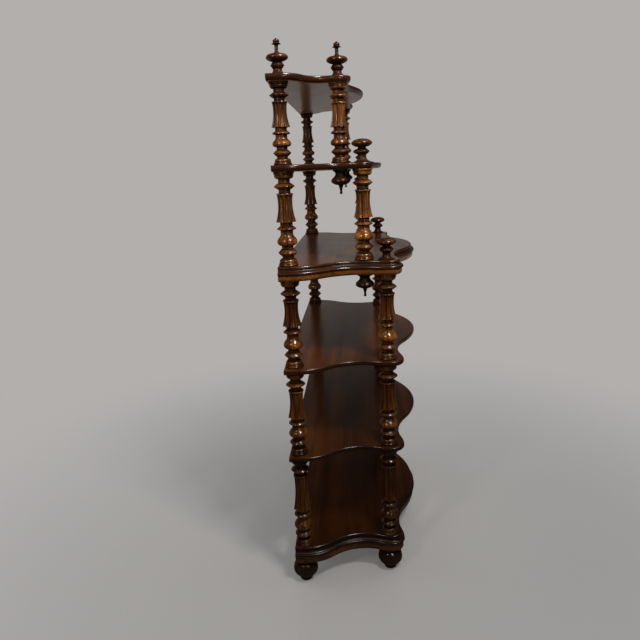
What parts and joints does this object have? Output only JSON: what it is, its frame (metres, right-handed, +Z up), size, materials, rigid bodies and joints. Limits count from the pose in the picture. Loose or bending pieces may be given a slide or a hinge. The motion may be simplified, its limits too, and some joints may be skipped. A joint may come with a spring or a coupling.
{
  "type": "display shelf",
  "caption": "Tall serpentine display shelf (etagere) with stepped-back upper shelves on turned, fluted posts, with finials, caps, pendants and bun feet.",
  "frame": {"origin": "on the floor, under the middle of the whole shelf", "axes": "+Z up, +X along the shelves towards the right end, -Y towards the bowed front"},
  "size_m": [0.858, 0.3964, 1.5],
  "materials": {
    "turned_walnut": "French polished, glossy",
    "shelf_walnut": "French polished, satin gloss",
    "frieze_walnut": "French polished, glossy",
    "foot_walnut": "dark stained, glossy"
  },
  "bodies": {
    "root": {"cap_4_left": "turned_walnut", "cap_4_right": "turned_walnut", "cap_5_left": "turned_walnut", "cap_5_right": "turned_walnut", "finial_back_left": "turned_walnut", "finial_back_right": "turned_walnut", "finial_front_left": "turned_walnut", "finial_front_right": "turned_walnut", "foot_back_left": "foot_walnut", "foot_back_right": "foot_walnut", "foot_front_left": "foot_walnut", "foot_front_right": "foot_walnut", "frieze_1_back_rail": "frieze_walnut", "frieze_1_front_rail": "frieze_walnut", "frieze_1_left_rail": "frieze_walnut", "frieze_1_right_rail": "frieze_walnut", "frieze_4_back_rail": "frieze_walnut", "frieze_4_front_rail": "frieze_walnut", "frieze_4_left_rail": "frieze_walnut", "frieze_4_right_rail": "frieze_walnut", "pendant_4_left": "turned_walnut", "pendant_4_right": "turned_walnut", "pendant_5_left": "turned_walnut", "pendant_5_right": "turned_walnut", "post_1_back_left": "turned_walnut", "post_1_back_right": "turned_walnut", "post_1_front_left": "turned_walnut", "post_1_front_right": "turned_walnut", "post_2_back_left": "turned_walnut", "post_2_back_right": "turned_walnut", "post_2_front_left": "turned_walnut", "post_2_front_right": "turned_walnut", "post_3_back_left": "turned_walnut", "post_3_back_right": "turned_walnut", "post_3_front_left": "turned_walnut", "post_3_front_right": "turned_walnut", "post_4_back_left": "turned_walnut", "post_4_back_right": "turned_walnut", "post_4_front_left": "turned_walnut", "post_4_front_right": "turned_walnut", "post_5_back_left": "turned_walnut", "post_5_back_right": "turned_walnut", "post_5_front_left": "turned_walnut", "post_5_front_right": "turned_walnut", "shelf_1_back_board": "shelf_walnut", "shelf_1_front_board": "shelf_walnut", "shelf_2_back_board": "shelf_walnut", "shelf_2_front_board": "shelf_walnut", "shelf_3_back_board": "shelf_walnut", "shelf_3_front_board": "shelf_walnut", "shelf_4_back_board": "shelf_walnut", "shelf_4_front_board": "shelf_walnut", "shelf_5": "shelf_walnut", "shelf_6": "shelf_walnut"}
  },
  "joints": []
}
